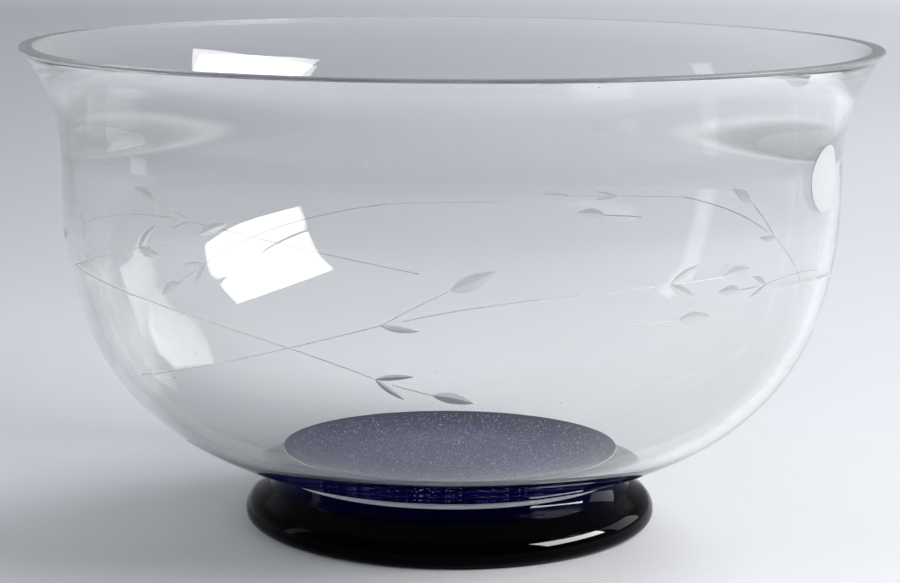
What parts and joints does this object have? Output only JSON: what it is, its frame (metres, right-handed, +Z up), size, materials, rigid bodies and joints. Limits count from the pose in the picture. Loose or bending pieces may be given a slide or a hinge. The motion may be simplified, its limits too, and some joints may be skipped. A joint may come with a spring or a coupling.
{
  "type": "footed glass bowl",
  "caption": "Round clear glass bowl with a flared flat lip and deep curved sides, fused to a low dark blue glass foot; holds fruit, salad, flowers or punch.",
  "frame": {"origin": "middle of the foot's resting ring, on the table", "axes": "+Z up along the bowl's axis; the picture's camera looks along +Y, with +X to its right"},
  "size_m": [0.254, 0.254, 0.1444],
  "materials": {
    "clear_glass": "polished clear glass with grey wheel-cut sprays",
    "blue_glass": "polished dark cobalt glass",
    "label_paper": "white semi-gloss label paper"
  },
  "bodies": {
    "root": {"bowl": "clear_glass", "foot": "blue_glass", "paper_label": "label_paper"}
  },
  "joints": []
}
